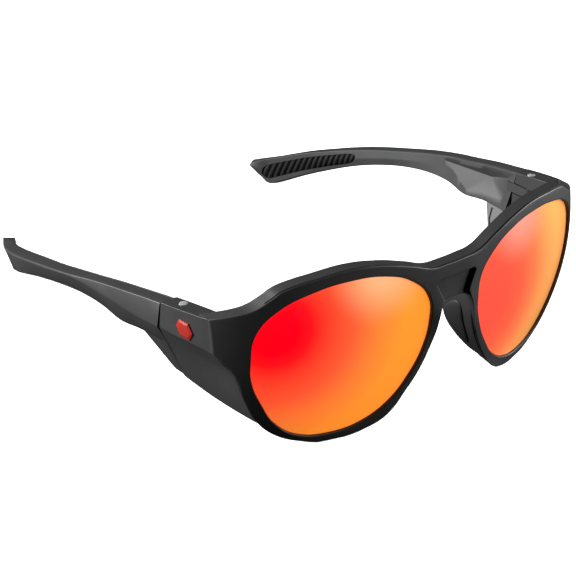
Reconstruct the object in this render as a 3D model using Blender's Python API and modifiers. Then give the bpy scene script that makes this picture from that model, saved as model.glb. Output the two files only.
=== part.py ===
"""Wraparound sport sunglasses: a moulded front with side shields, two folding temples and their fittings.

The glasses stand on the two rim bottoms and the two temple tips, at z = 0. The front faces -Y, the
temples run back along +Y, and x = 0 is the plane of symmetry. The wearer's left is +X. Dimensions are
in millimetres and are turned into metres where points are placed.
"""
import math

import bmesh
import bpy
from mathutils import Matrix, Vector

MM = 0.001
GAP = 0.3                     # clearance kept between touching pieces
SHARP_ANGLE = 30.0            # degrees between faces from which an edge is shaded sharp
ORIGIN_Y = 69.4               # middle of the whole length, taken as the origin when pieces are placed

# Front: a plate that is wrapped in plan and bowed in height; widths are shares of WRAP_HALF.
WRAP_HALF = 70.0
NOSE_Y = -15.7                # front surface at x = 0, z = 0
WRAP_TERMS = (18.3, -10.9, 14.7)     # sweep back with the square, fourth and sixth power of the width
LEAN = -0.051                 # forward lean for each mm of height
LEAN_TURN = -0.086            # extra lean at the sides
BOW_MIDDLE_Z = 27.0
BOW = 2.0                     # bow of the front above and below its middle height
BOW_SIDE = 3.8                # extra bow at the sides
FRONT_DEPTH = 4.8             # front to back through the rims and the brow
RIM_DRAFT = 1.6               # how far the rims narrow on their outer side, towards the back
RIM_HALF_WIDTH = 27.5         # half sizes of the oval inside which the rims keep their shape
RIM_HALF_HEIGHT = 25.6
DRAFT_TOP = 34.0              # height above which there is no draft
NASAL_FLARE = 1.4             # how far the rims' nasal edges stand forward
FLARE_WIDTHS = (18.0, 38.0)   # the flare dies away between these widths
FLARE_HEIGHTS = (26.0, 44.0)  # and between these heights
STRIP = 4.0                   # spacing of the bend lines across the front
BAND = 9.0                    # spacing of the bend lines up the front

LENS_DEPTH = 0.8              # recess of the lens behind the rim's front face
LENS_THICKNESS = 1.8
LIP_WIDTH = 1.2               # rear lip that the lens seats on

# Side facet: the plane of the shield and of the lower half of the temple.
FACET_X = 56.4
FACET_BACK = 0.112            # outward growth for each mm back
FACET_UP = 0.404              # outward growth for each mm up
SHIELD_THICKNESS = 1.7
SHIELD_REAR_BEVEL = 0.6       # how far the shield's rear edge is cut back for each mm of depth
SEAM_TOP_Y = 25.2             # seam between front and temple, at the top
SEAM_SLOPE = 0.20             # how far the seam runs back for each mm down
SHIELD_SEAM_HIGH_Y = 27.2     # the seam behind the side shield, at its top
SHIELD_SEAM_LOW_Y = 28.2
SEAM_GAP = 0.5

# Hinge, vertical through each end piece.
HINGE_X = 70.3
HINGE_Y = 20.1
SLOT_LOW = 36.0
SLOT_HIGH = 40.2
WASHER_THICKNESS = 0.5
TONGUE_RADIUS = 2.2
SLEEVE_RADIUS = 1.3
SCREW_RADIUS = 0.8
SCREW_HEAD_RADIUS = 1.4
SCREW_HEAD_HEIGHT = 0.9
SCREW_HEAD_CHAMFER = 0.3
TURNED_SIDES = 20
SLOT_INWARD = 12.0            # reach of the slot's cut towards the wearer
SLOT_BACK = 14.0              # and towards the temple
CORNER_BACK = 8.0             # inner rear corner of the end piece, cut off so that the temple can turn
CORNER_CUT = 2.6
CORNER_MIDDLE_Z = 38.5
CORNER_HEIGHT = 16.0
NECK_REAR_Y = 29.0            # rear end of the tongue's neck, inside the temple
NECK_INSET = 0.3
EAR_TOP = 44.9                # top of the end piece at the screw
NUT_RADIUS = 1.25
NUT_LOW = 34.2
NUT_HEIGHT = 1.5

# Outlines of the front, in (x, z), wearer's left half. True marks a corner.
BROW_AND_RIM = (
    (-4.0, 50.6, True), (3.0, 50.6, False), (9.2, 50.9, False), (16.0, 53.3, False), (25.0, 55.9, False),
    (35.0, 57.2, False), (45.0, 56.5, False), (54.5, 54.9, True), (58.5, 52.4, False), (63.0, 49.6, False),
    (67.5, 48.0, False), (72.0, 46.5, True), (71.8, 36.0, True), (67.9, 29.8, False), (65.0, 20.0, False),
    (61.0, 11.7, False), (55.0, 5.4, False), (48.3, 1.9, False), (41.5, -0.4, True), (36.0, -0.4, True),
    (28.6, 1.4, False), (22.0, 4.8, False), (15.5, 12.6, False), (10.7, 21.0, False), (7.9, 28.7, False),
    (6.2, 35.8, False), (4.9, 39.5, True), (7.8, 45.3, True), (7.0, 46.2, True), (-4.0, 46.2, True))
LENS_OPENING = (
    (64.2, 33.0), (62.5, 43.0), (56.8, 49.1), (47.5, 52.7), (36.5, 53.9), (25.5, 52.7), (16.2, 48.7),
    (10.4, 42.3), (9.5, 34.5), (11.6, 25.0), (15.6, 17.2), (21.2, 9.9), (29.5, 4.5), (39.5, 2.7),
    (48.5, 4.3), (55.8, 10.0), (61.2, 19.5), (63.8, 27.0))
LENS_CENTRE = (37.0, 29.0)

# Rear part of the side shield, on the temple, in (y, z).
FIN_OUTLINE = (
    (SHIELD_SEAM_LOW_Y + SEAM_GAP, 29.6, True), (SHIELD_SEAM_LOW_Y + SEAM_GAP, 15.2, True),
    (32.2, 15.8, True),
    (39.8, 27.9, True), (39.8, 29.6, True))

# Temple, wearer's left: y, outer top x, top z, top width, crease z, bottom z, outer bottom x. The first is
# the section at the seam.
TEMPLE_STATIONS = (
    (26.0, 74.55, 43.8, 5.3, 35.3, 27.7, 70.4),
    (40.0, 75.6, 41.4, 5.1, 34.8, 27.5, 72.0),
    (51.0, 76.1, 39.2, 5.0, 34.8, 26.0, 72.6),
    (60.0, 76.7, 37.4, 4.8, 34.7, 27.5, 73.4),
    (71.5, 77.2, 34.6, 5.2, 33.9, 27.0, 73.8),
    (85.0, 76.6, 31.0, 5.1, 30.3, 24.4, 73.8),
    (100.0, 75.4, 26.9, 5.4, 26.2, 20.1, 73.0),
    (113.0, 73.6, 22.9, 5.5, 22.2, 15.2, 71.2),
    (122.0, 71.4, 19.9, 5.1, 19.1, 11.3, 69.0),
    (132.5, 68.2, 16.3, 4.7, 15.5, 6.4, 65.2),
    (145.0, 62.7, 11.4, 4.5, 10.6, 0.0, 59.8),
    (147.5, 61.5, 10.5, 4.4, 9.7, 0.0, 58.7),
    (152.0, 59.2, 9.0, 4.2, 8.2, 2.5, 57.8),
    (156.6, 56.9, 7.3, 3.4, 6.8, 5.4, 56.2))
TIP_TURN = 2.2                # how far the tip's inner edge ends short of its outer edge

# Hollow in the temple's inner face, like a pyramid pressed in: outline and deepest point in (y, z), and depth.
HOLLOW_OUTLINE = ((62.9, 35.2), (40.0, 39.6), (28.4, 41.0), (31.0, 32.3), (49.5, 28.6))
HOLLOW_DEEPEST = (40.0, 36.6)
HOLLOW_DEPTH = 1.5
HOLLOW_CUT_REACH = 6.0        # how far the cutting body stands out of the face

GRIP_FRONT_Y = 108.0
GRIP_REAR_Y = 149.0
GRIP_DEPTH = 1.4
GRIP_RIBS = 14
GRIP_SLANT = 0.35             # how far a rib leans forward for each mm of height

# Recess in the front of the bridge, and the web behind it, in (x, z).
RECESS_DEPTH = 1.6
BRIDGE_WEB = (
    (-9.0, 48.0, True), (-6.6, 37.2, True), (-3.6, 38.2, False), (0.0, 38.5, False), (3.6, 38.2, False),
    (6.6, 37.2, True), (9.0, 48.0, True))

# Nose pad carrier: a wing let into the nasal side of the rim. z, x at the rim, x and y of its rear edge.
WING_STATIONS = (
    (8.5, 18.8, 19.6, -4.6),
    (11.0, 16.9, 17.6, -3.2),
    (15.0, 14.1, 14.8, -2.0),
    (20.0, 11.3, 11.7, -1.3),
    (25.0, 9.3, 9.6, -1.5),
    (29.0, 7.9, 8.5, -3.6),
    (33.0, 6.9, 7.8, -6.6),
    (36.5, 6.2, 7.0, -10.2))
WING_THICKNESS = 2.0
REBATE_DEPTH = 0.9            # how far behind the rim's front face the wing starts
PAD_Z = 22.6
PAD_SHARE = 0.59              # middle of the pad, as a share of the way back across the wing
PAD_HALF_LENGTH = 9.2
PAD_HALF_WIDTH = 4.4
PAD_DEPTH = 0.9               # how deep the pad is seated in the wing
PAD_PROUD = 0.8
PAD_SIDES = 24
EMBLEM_Y = 15.4
EMBLEM_Z = 39.4
EMBLEM_LENGTH = 7.2
EMBLEM_HEIGHT = 5.4
EMBLEM_DEPTH = 0.45

# Colours (linear RGB), roughness and metallic value.
FINISHES = {
    "frame": ((0.022, 0.022, 0.024), 0.45, 0.0),
    "temple": ((0.030, 0.030, 0.033), 0.45, 0.0),
    "lens": ((1.0, 0.09, 0.02), 0.08, 0.9),
    "rubber": ((0.015, 0.015, 0.016), 0.8, 0.0),
    "steel": ((0.62, 0.62, 0.63), 0.25, 1.0),
    "brass": ((0.80, 0.58, 0.25), 0.35, 1.0),
    "nylon": ((0.75, 0.75, 0.72), 0.5, 0.0),
    "emblem": ((0.65, 0.03, 0.02), 0.2, 0.0),
}


def clear_scene():
    for item in list(bpy.data.objects):
        bpy.data.objects.remove(item, do_unlink=True)


def new_collection(name):
    collection = bpy.data.collections.new(name)
    bpy.context.scene.collection.children.link(collection)
    return collection


def material(name):
    colour, roughness, metallic = FINISHES[name]
    found = bpy.data.materials.get(name)
    if found:
        return found
    made = bpy.data.materials.new(name)
    made.use_nodes = True
    shader = made.node_tree.nodes["Principled BSDF"]
    shader.inputs["Base Color"].default_value = (*colour, 1.0)
    shader.inputs["Roughness"].default_value = roughness
    shader.inputs["Metallic"].default_value = metallic
    return made


def object_from(bm, name, collection, finish=None):
    """Turn a closed bmesh in millimetres into an object in metres."""
    bmesh.ops.recalc_face_normals(bm, faces=bm.faces[:])
    bmesh.ops.translate(bm, vec=(0.0, -ORIGIN_Y, 0.0), verts=bm.verts[:])
    bmesh.ops.scale(bm, vec=(MM, MM, MM), verts=bm.verts[:])
    mesh = bpy.data.meshes.new(name)
    bm.to_mesh(mesh)
    bm.free()
    mesh.shade_smooth()
    mesh.set_sharp_from_angle(angle=math.radians(SHARP_ANGLE))
    made = bpy.data.objects.new(name, mesh)
    collection.objects.link(made)
    if finish:
        mesh.materials.append(material(finish))
    else:
        made.hide_render = True
        made.display_type = "WIRE"
    return made


def fade(value, full, none):
    """1 up to the first limit, 0 from the second, and smooth between them."""
    share = min(1.0, max(0.0, (none - value) / (none - full)))
    return share * share * (3.0 - 2.0 * share)


def off_lens(x, z):
    """Way out from the lens centre, and how far out: 0 in the lens opening, 1 at the rim's outer edge."""
    away = Vector((abs(x) - LENS_CENTRE[0], z - LENS_CENTRE[1]))
    oval = math.hypot(away.x / RIM_HALF_WIDTH, away.y / RIM_HALF_HEIGHT)
    return away, min(1.0, max(0.0, (oval - 1.02) / 0.12))


def front_y(x, z):
    """Y of the front surface at a place on the front."""
    side = (x / WRAP_HALF) ** 2
    rise = ((z - BOW_MIDDLE_Z) / BOW_MIDDLE_Z) ** 2
    wrap = sum(term * side ** (power + 1) for power, term in enumerate(WRAP_TERMS))
    flare = NASAL_FLARE * off_lens(x, z)[1] * fade(abs(x), *FLARE_WIDTHS) * fade(z, *FLARE_HEIGHTS)
    return NOSE_Y + wrap + (LEAN + LEAN_TURN * side) * z + (BOW + BOW_SIDE * side) * rise - flare


def on_front(x, z, depth):
    return Vector((x, front_y(x, z) + depth, z))


def on_rim(x, z, depth):
    """A place on the front moulding, whose rims narrow towards the back below DRAFT_TOP."""
    away, outer = off_lens(x, z)
    lower = fade(z, DRAFT_TOP - 10.0, DRAFT_TOP)
    shift = away.normalized() * RIM_DRAFT * outer * lower * min(1.0, depth / FRONT_DEPTH)
    return Vector((x - math.copysign(1.0, x) * shift.x, front_y(x, z) + depth, z - shift.y))


def facet_x(y, z):
    """X of the side facet, on the wearer's left."""
    return FACET_X + FACET_BACK * y + FACET_UP * z


def on_facet(y, z, depth):
    return Vector((facet_x(y, z) - depth, y, z))


def inset(outline, amount):
    """Move a smooth outline of the lens opening towards the lens centre."""
    moved = []
    for x, z in outline:
        away = Vector((x - LENS_CENTRE[0], z - LENS_CENTRE[1]))
        closer = away * (1.0 - amount / away.length)
        moved.append((LENS_CENTRE[0] + closer.x, LENS_CENTRE[1] + closer.y, False))
    return moved


def flat_outline(outlines, near, far, steps=4):
    """A closed flat piece from Bezier outlines, extruded from near to far."""
    curve = bpy.data.curves.new("outline", "CURVE")
    curve.dimensions = "2D"
    curve.fill_mode = "BOTH"
    curve.resolution_u = steps
    curve.extrude = (far - near) / 2.0
    for outline in outlines:
        spline = curve.splines.new("BEZIER")
        spline.bezier_points.add(len(outline) - 1)
        spline.use_cyclic_u = True
        for point, (u, v, corner) in zip(spline.bezier_points, outline):
            point.co = (u, v, 0.0)
            kind = "VECTOR" if corner else "AUTO"
            point.handle_left_type = kind
            point.handle_right_type = kind
    shape = bpy.data.objects.new("outline", curve)
    bpy.context.scene.collection.objects.link(shape)
    bpy.context.view_layer.update()
    mesh = bpy.data.meshes.new_from_object(shape.evaluated_get(bpy.context.evaluated_depsgraph_get()))
    bm = bmesh.new()
    bm.from_mesh(mesh)
    bpy.data.objects.remove(shape, do_unlink=True)
    bpy.data.curves.remove(curve)
    bpy.data.meshes.remove(mesh)
    bmesh.ops.remove_doubles(bm, verts=bm.verts[:], dist=0.01)
    bmesh.ops.translate(bm, vec=(0.0, 0.0, (near + far) / 2.0), verts=bm.verts[:])
    return bm


def place_each(bm, place):
    """Map every vertex (u, v, depth) to its place on the glasses."""
    for vert in bm.verts:
        vert.co = place(*vert.co)


def wrapped_plate(outlines, near, far, place=on_front):
    """A plate that follows the front surface between two depths; no bend line runs close to its low edge."""
    bm = flat_outline(outlines, near, far)
    bmesh.ops.dissolve_limit(bm, angle_limit=math.radians(1.0), verts=bm.verts[:], edges=bm.edges[:])
    for direction, spacing in ((Vector((1, 0, 0)), STRIP), (Vector((0, 1, 0)), BAND)):
        low = min(vert.co.dot(direction) for vert in bm.verts)
        high = max(vert.co.dot(direction) for vert in bm.verts)
        line = spacing * (math.floor((low + 1.0) / spacing) + 1)
        while line < high - 0.05:
            geometry = bm.verts[:] + bm.edges[:] + bm.faces[:]
            bend = direction * line
            bmesh.ops.bisect_plane(bm, geom=geometry, dist=0.02, plane_co=bend, plane_no=direction)
            line += spacing
    place_each(bm, place)
    bmesh.ops.triangulate(bm, faces=bm.faces[:])
    return bm


def flat_foot(bm):
    """Cut off what lies below z = 0 and close the cut with one flat face."""
    geometry = bm.verts[:] + bm.edges[:] + bm.faces[:]
    bmesh.ops.bisect_plane(bm, geom=geometry, dist=0.02, plane_co=(0, 0, 0), plane_no=(0, 0, 1),
                           clear_inner=True)
    open_edges = [edge for edge in bm.edges if len(edge.link_faces) == 1]
    bmesh.ops.contextual_create(bm, geom=open_edges)
    for edge in open_edges:
        for vert in edge.verts:
            vert.co.z = 0.0
    return bm


def loft(sections):
    """A closed body through sections that have the same number of points."""
    bm = bmesh.new()
    rings = [[bm.verts.new(point) for point in section] for section in sections]
    for ring, following in zip(rings, rings[1:]):
        for index in range(len(ring)):
            after = (index + 1) % len(ring)
            bm.faces.new((ring[index], ring[after], following[after], following[index]))
    bm.faces.new(rings[0])
    bm.faces.new(rings[-1])
    bmesh.ops.triangulate(bm, faces=bm.faces[:])
    return bm


def cylinder(centre, radius, height, segments=20):
    """An upright cylinder about its own middle."""
    bm = bmesh.new()
    bmesh.ops.create_cone(bm, cap_ends=True, segments=segments, radius1=radius, radius2=radius, depth=height)
    bmesh.ops.translate(bm, vec=centre, verts=bm.verts[:])
    return bm


def box(low, high):
    bm = bmesh.new()
    size = Vector(high) - Vector(low)
    middle = (Vector(high) + Vector(low)) / 2.0
    bmesh.ops.create_cube(bm, size=1.0)
    bmesh.ops.scale(bm, vec=size, verts=bm.verts[:])
    bmesh.ops.translate(bm, vec=middle, verts=bm.verts[:])
    return bm


def combine(target, other, operation):
    """Add a Boolean modifier; the other object is a guide in the cutters' collection."""
    modifier = target.modifiers.new(operation.lower(), "BOOLEAN")
    modifier.operation = operation
    modifier.solver = "EXACT"
    modifier.object = other


def seam_y(z):
    """Y of the seam between the end piece and the temple."""
    return SEAM_TOP_Y + SEAM_SLOPE * (EAR_TOP - z)


def end_piece_section(y, outer_top, top, outer_crease, crease, bottom, inner):
    """Five corners of the end piece across the temple direction; the rear one follows the seam."""
    corners = ((outer_top, top), (outer_crease, crease), (facet_x(y, bottom), bottom), (inner + 0.4, bottom),
               (inner, top))
    if y < SEAM_TOP_Y:
        return [Vector((x, y, z)) for x, z in corners]
    return [Vector((x, seam_y(z), z)) for x, z in corners]


def end_piece():
    """The block that runs back from the front's corner to the hinge seam."""
    sections = (
        end_piece_section(5.6, 71.9, 46.4, 71.7, 36.1, 32.6, 67.0),
        end_piece_section(8.0, 72.8, 46.3, 72.2, 36.1, 32.2, 67.4),
        end_piece_section(15.0, 73.7, 45.5, 73.1, 35.8, 31.8, 68.0),
        end_piece_section(SEAM_TOP_Y, 74.4, 44.0, 74.2, 35.3, 31.8, 68.9))
    return loft(sections)


def shield(collection):
    """Side shield, flush with the facet, from the rim back to the seam."""
    heights = (33.6, 27.0, 19.0)
    rim = [(front_y(facet_x(0.0, z), z) + 1.0, z, z > 30.0) for z in heights]
    lower = [(front_y(61.0, 11.7) + 1.4, 11.9, True), (4.9, 11.6, False), (14.0, 12.5, False)]
    rear = [(SHIELD_SEAM_LOW_Y, 14.9, True), (SHIELD_SEAM_HIGH_Y, 33.6, True)]
    bm = flat_outline([rim + lower + rear], 0.0, SHIELD_THICKNESS)

    def bevelled(y, z, depth):
        cut = SHIELD_REAR_BEVEL * depth if y > SEAM_TOP_Y else 0.0
        return on_facet(y - cut, z, depth)

    place_each(bm, bevelled)
    return object_from(bm, "add_shield", collection)


def between(stations, place):
    """Dimensions at a place between the stations, each of which starts with its own place."""
    for low, high in zip(stations, stations[1:]):
        if place <= high[0]:
            share = (place - low[0]) / (high[0] - low[0])
            return [a + (b - a) * share for a, b in zip(low, high)]
    return list(stations[-1])


def on_wing(z, back, outward):
    """A place on the wing: back is in millimetres from its front edge, outward is towards the nose."""
    _, rim_x, rear_x, rear_y = between(WING_STATIONS, z)
    share = back / wing_length(z)
    return Vector((rim_x + (rear_x - rim_x) * share - outward, rear_y + back - wing_length(z), z))


def wing_length(z):
    """How far the wing reaches back from its front edge."""
    _, rim_x, _, rear_y = between(WING_STATIONS, z)
    return rear_y - front_y(rim_x, z) - REBATE_DEPTH - GAP


def carrier(name, collection, finish, cutters):
    """Wing that carries the nose pad, let into a rebate of the rim."""
    sections = []
    for z, rim_x, _, _ in WING_STATIONS:
        length = wing_length(z)
        lateral_x = rim_x + WING_THICKNESS
        sections.append([
            on_wing(z, 0.0, 0.0), on_wing(z, length * 0.94, 0.0), on_wing(z, length, -WING_THICKNESS * 0.35),
            on_wing(z, length * 0.94, -WING_THICKNESS * 0.8), on_front(lateral_x, z, FRONT_DEPTH + 2 * GAP),
            on_front(lateral_x, z, REBATE_DEPTH + 1.5 * GAP)])
    made = object_from(loft(sections), name, collection, finish)
    pocket = pad_body(GAP, -PAD_DEPTH - GAP, 3.0)
    combine(made, object_from(pocket, name + "_pocket_cut", cutters), "DIFFERENCE")
    return made


def rebate():
    """The room that the wing takes up in the rim."""
    sections = []
    low = WING_STATIONS[0][0]
    high = WING_STATIONS[-1][0]
    for z, rim_x, _, _ in WING_STATIONS:
        end = -GAP if z == low else GAP if z == high else 0.0
        sections.append([on_front(x, z + end, depth) for x, depth in (
            (rim_x - 3.0, REBATE_DEPTH), (rim_x - 3.0, FRONT_DEPTH + 2.0),
            (rim_x + WING_THICKNESS + GAP, FRONT_DEPTH + 2.0), (rim_x + WING_THICKNESS + GAP, REBATE_DEPTH))])
    return loft(sections)


def pad_ring(half_length, half_width, outward):
    """One oval ring of the nose pad, at a height above the wing's face."""
    ring_points = []
    for step in range(PAD_SIDES):
        angle = 2 * math.pi * step / PAD_SIDES
        z = PAD_Z + half_length * math.cos(angle)
        back = wing_length(z) * PAD_SHARE + half_width * math.sin(angle)
        ring_points.append(on_wing(z, back, outward))
    return ring_points


def pad_body(clearance, low, high):
    """Straight-sided oval between two heights: the pad's seat, or the pocket for it."""
    size = (PAD_HALF_LENGTH + clearance, PAD_HALF_WIDTH + clearance)
    return loft([pad_ring(*size, low), pad_ring(*size, high)])


def nose_pad(name, collection):
    """Soft oval pad with a domed face, seated in the wing."""
    rings = []
    for scale, height in ((1.0, -PAD_DEPTH), (1.0, 0.35), (0.88, 0.7), (0.55, PAD_PROUD)):
        rings.append(pad_ring(PAD_HALF_LENGTH * scale, PAD_HALF_WIDTH * scale, height))
    return object_from(loft(rings), name, collection, "rubber")


def build_front(parts, cutters):
    """Front: rims, brow, bridge, end pieces and side shields in one moulding."""
    plate = wrapped_plate([BROW_AND_RIM, inset(LENS_OPENING, LIP_WIDTH)], 0.0, FRONT_DEPTH, on_rim)
    front = object_from(flat_foot(plate), "front_frame", parts, "frame")
    web = wrapped_plate([BRIDGE_WEB], RECESS_DEPTH, FRONT_DEPTH - 0.1)
    combine(front, object_from(web, "add_bridge_web", cutters), "UNION")
    combine(front, object_from(end_piece(), "add_end_piece", cutters), "UNION")
    combine(front, shield(cutters), "UNION")
    pocket = wrapped_plate([inset(LENS_OPENING, 0.0)], -5.0, LENS_DEPTH + LENS_THICKNESS + GAP)
    combine(front, object_from(pocket, "cut_lens_pocket", cutters), "DIFFERENCE")
    reach = TONGUE_RADIUS + GAP
    slot_low = (HINGE_X - SLOT_INWARD, HINGE_Y - reach, SLOT_LOW)
    slot = box(slot_low, (HINGE_X + reach, HINGE_Y + SLOT_BACK, SLOT_HIGH))
    combine(front, object_from(slot, "cut_hinge_slot", cutters), "DIFFERENCE")
    corner_place = (HINGE_X - CORNER_CUT, HINGE_Y + CORNER_BACK, CORNER_MIDDLE_Z)
    corner = cylinder(corner_place, CORNER_CUT, CORNER_HEIGHT, 4)
    combine(front, object_from(corner, "cut_ear_corner", cutters), "DIFFERENCE")
    axis = (HINGE_X, HINGE_Y)
    bore = cylinder((*axis, EAR_TOP - 4.0), SCREW_RADIUS + GAP, 2 * (EAR_TOP - 4.0 - NUT_LOW), 16)
    combine(front, object_from(bore, "cut_screw_bore", cutters), "DIFFERENCE")
    head = cylinder((*axis, EAR_TOP), SCREW_HEAD_RADIUS + 0.25, 2 * (SCREW_HEAD_HEIGHT + 0.4), 20)
    combine(front, object_from(head, "cut_screw_head", cutters), "DIFFERENCE")
    seat = cylinder((*axis, SLOT_LOW + 0.5), NUT_RADIUS + 0.2, 2 * (SLOT_LOW + 0.5 - NUT_LOW + GAP), 16)
    combine(front, object_from(seat, "cut_nut_seat", cutters), "DIFFERENCE")
    inlay = emblem_body(GAP, 4.0)
    combine(front, object_from(inlay, "cut_emblem", cutters), "DIFFERENCE")
    combine(front, object_from(rebate(), "cut_wing_rebate", cutters), "DIFFERENCE")
    mirror = front.modifiers.new("mirror", "MIRROR")
    mirror.use_bisect_axis[0] = True
    mirror.merge_threshold = 0.00005
    return front


def on_emblem(y, z, depth):
    """A place on the end piece's outer face, about the inlay's middle."""
    return Vector((73.5 + 0.08 * y + 0.06 * z + depth, EMBLEM_Y + y, EMBLEM_Z + z))


def emblem_body(clearance, proud):
    """Six-sided inlay standing in the end piece, or its pocket when clearance is given."""
    length = EMBLEM_LENGTH / 2 + clearance
    height = EMBLEM_HEIGHT / 2 + clearance
    outline = ((-length, 0.0), (-length * 0.55, height), (length * 0.55, height), (length, 0.0),
               (length * 0.55, -height), (-length * 0.55, -height))
    return loft([[on_emblem(y, z, depth) for y, z in outline] for depth in (-EMBLEM_DEPTH - clearance, proud)])


def build_lens(name, parts):
    bm = wrapped_plate([inset(LENS_OPENING, GAP)], LENS_DEPTH, LENS_DEPTH + LENS_THICKNESS)
    return object_from(bm, name, parts, "lens")


def temple_section(y):
    _, outer, top, width, crease, bottom, low_outer = between(TEMPLE_STATIONS, y)
    inner = outer - width
    middle = (top + bottom) / 2
    outer_crease = outer + 0.15
    inner_low = min(inner, low_outer - 2.4)
    corners = ((outer, top), (outer_crease, crease), (low_outer, bottom), (inner_low, bottom + 0.6),
               (inner - 0.4, middle), (inner, top - 0.1))
    return [Vector((x, y, z)) for x, z in corners]


def temple_front_section():
    """The temple's front end, set back from the seam."""
    return [Vector((p.x, seam_y(p.z) + SEAM_GAP, p.z)) for p in temple_section(TEMPLE_STATIONS[0][0])]


def inner_x(y, z):
    """X of the temple's inner face at a place."""
    section = temple_section(y)
    low, middle, high = section[3], section[4], section[5]
    if z < middle.z:
        share = (z - low.z) / (middle.z - low.z)
        return low.x + (middle.x - low.x) * share
    share = (z - middle.z) / (high.z - middle.z)
    return middle.x + (high.x - middle.x) * share


def hollow():
    """The pyramid that is taken out of the temple's inner face, with some height above the face."""
    mouth = [Vector((inner_x(y, z), y, z)) for y, z in HOLLOW_OUTLINE]
    deepest = Vector((inner_x(*HOLLOW_DEEPEST) + HOLLOW_DEPTH, *HOLLOW_DEEPEST))
    bm = bmesh.new()
    tip = bm.verts.new(deepest)
    raised = bm.verts.new(deepest - Vector((HOLLOW_DEPTH + HOLLOW_CUT_REACH, 0.0, 0.0)))
    ring_verts = [bm.verts.new(point) for point in mouth]
    for vert, following in zip(ring_verts, ring_verts[1:] + ring_verts[:1]):
        bm.faces.new((vert, following, tip))
        bm.faces.new((following, vert, raised))
    return bm


def grip_body(clearance, proud, ribbed):
    """Ribbed rubber inlay in the inner face of the temple tip, or its pocket."""
    sections = []
    steps = 2 * GRIP_RIBS
    length = GRIP_REAR_Y - GRIP_FRONT_Y + 2 * clearance
    for step in range(steps + 1):
        share = step / steps
        y = GRIP_FRONT_Y - clearance + length * share
        _, _, top, _, _, bottom, _ = between(TEMPLE_STATIONS, y)
        taper = min(1.0, 0.35 + 4.0 * min(share, 1.0 - share))
        centre = bottom + (top - bottom) * 0.53
        half = ((top - bottom) * 0.30 + clearance) * taper
        height = proud - (0.5 if ribbed and step % 2 else 0.0)
        low_z, high_z = centre - half, centre + half
        low_y, high_y = y + GRIP_SLANT * half, y - GRIP_SLANT * half
        sections.append([
            Vector((inner_x(low_y, low_z) - height, low_y, low_z)),
            Vector((inner_x(high_y, high_z) - height, high_y, high_z)),
            Vector((inner_x(high_y, high_z) + GRIP_DEPTH + clearance, high_y, high_z)),
            Vector((inner_x(low_y, low_z) + GRIP_DEPTH + clearance, low_y, low_z))])
    return loft(sections)


def build_temple(name, parts, cutters):
    """Temple arm with its hinge tongue and the rear part of the side shield."""
    ys = [st[0] for st in TEMPLE_STATIONS[1:]]
    sections = [temple_front_section()] + [temple_section(y) for y in ys]
    for inner_point in sections[-1][3:]:
        inner_point.y -= TIP_TURN
    temple = object_from(loft(sections), name, parts, "temple")
    low = SLOT_LOW + WASHER_THICKNESS + GAP
    high = SLOT_HIGH - GAP
    half = TONGUE_RADIUS
    neck_half = half - NECK_INSET
    neck = box((HINGE_X - neck_half, HINGE_Y, low), (HINGE_X + neck_half, NECK_REAR_Y, high))
    combine(temple, object_from(neck, name + "_neck", cutters), "UNION")
    eye = cylinder((HINGE_X, HINGE_Y, (low + high) / 2), half, high - low + 0.02, 24)
    combine(temple, object_from(eye, name + "_eye", cutters), "UNION")
    fin = flat_outline([FIN_OUTLINE], 0.05, SHIELD_THICKNESS, 2)
    place_each(fin, on_facet)
    combine(temple, object_from(fin, name + "_fin", cutters), "UNION")
    bore = cylinder((HINGE_X, HINGE_Y, (low + high) / 2), SLEEVE_RADIUS + 0.15, 12.0, 20)
    combine(temple, object_from(bore, name + "_bore_cut", cutters), "DIFFERENCE")
    combine(temple, object_from(grip_body(0.25, 3.0, False), name + "_grip_cut", cutters), "DIFFERENCE")
    combine(temple, object_from(hollow(), name + "_hollow_cut", cutters), "DIFFERENCE")
    return temple


def turned(name, parts, finish, outline):
    """A piece turned about the hinge axis from its closed (radius, height) outline."""
    bm = bmesh.new()
    verts = [bm.verts.new((radius, 0.0, height)) for radius, height in outline]
    for first, second in zip(verts, verts[1:] + verts[:1]):
        if first.co.x > 0.0 or second.co.x > 0.0:
            bm.edges.new((first, second))
    bmesh.ops.spin(bm, geom=bm.verts[:] + bm.edges[:], axis=(0, 0, 1), angle=2 * math.pi,
                   steps=TURNED_SIDES,
                   use_merge=True)
    bmesh.ops.remove_doubles(bm, verts=bm.verts[:], dist=0.001)
    bmesh.ops.translate(bm, vec=(HINGE_X, HINGE_Y, 0.0), verts=bm.verts[:])
    return object_from(bm, name, parts, finish)


def ring(name, parts, finish, radius, hole, low, high):
    """A sleeve, washer or nut on the hinge axis."""
    return turned(name, parts, finish, ((hole, low), (radius, low), (radius, high), (hole, high)))


def build_screw(name, parts):
    """Hinge screw, put in from above, with a chamfered flat head."""
    low = NUT_LOW + 0.1
    high = EAR_TOP - 0.1
    seat = high - SCREW_HEAD_HEIGHT
    outline = ((0.0, low), (SCREW_RADIUS, low), (SCREW_RADIUS, seat), (SCREW_HEAD_RADIUS, seat),
               (SCREW_HEAD_RADIUS, high - SCREW_HEAD_CHAMFER), (SCREW_HEAD_RADIUS - SCREW_HEAD_CHAMFER, high),
               (0.0, high))
    return turned(name, parts, "steel", outline)


def mirrored_copy(source, name, parts):
    """The wearer's right piece: the evaluated left piece turned over at x = 0."""
    bpy.context.view_layer.update()
    mesh = bpy.data.meshes.new_from_object(source.evaluated_get(bpy.context.evaluated_depsgraph_get()))
    mesh.transform(Matrix.Diagonal((-1.0, 1.0, 1.0, 1.0)) @ source.matrix_world)
    mesh.flip_normals()
    mesh.name = name
    made = bpy.data.objects.new(name, mesh)
    parts.objects.link(made)
    return made


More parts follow.
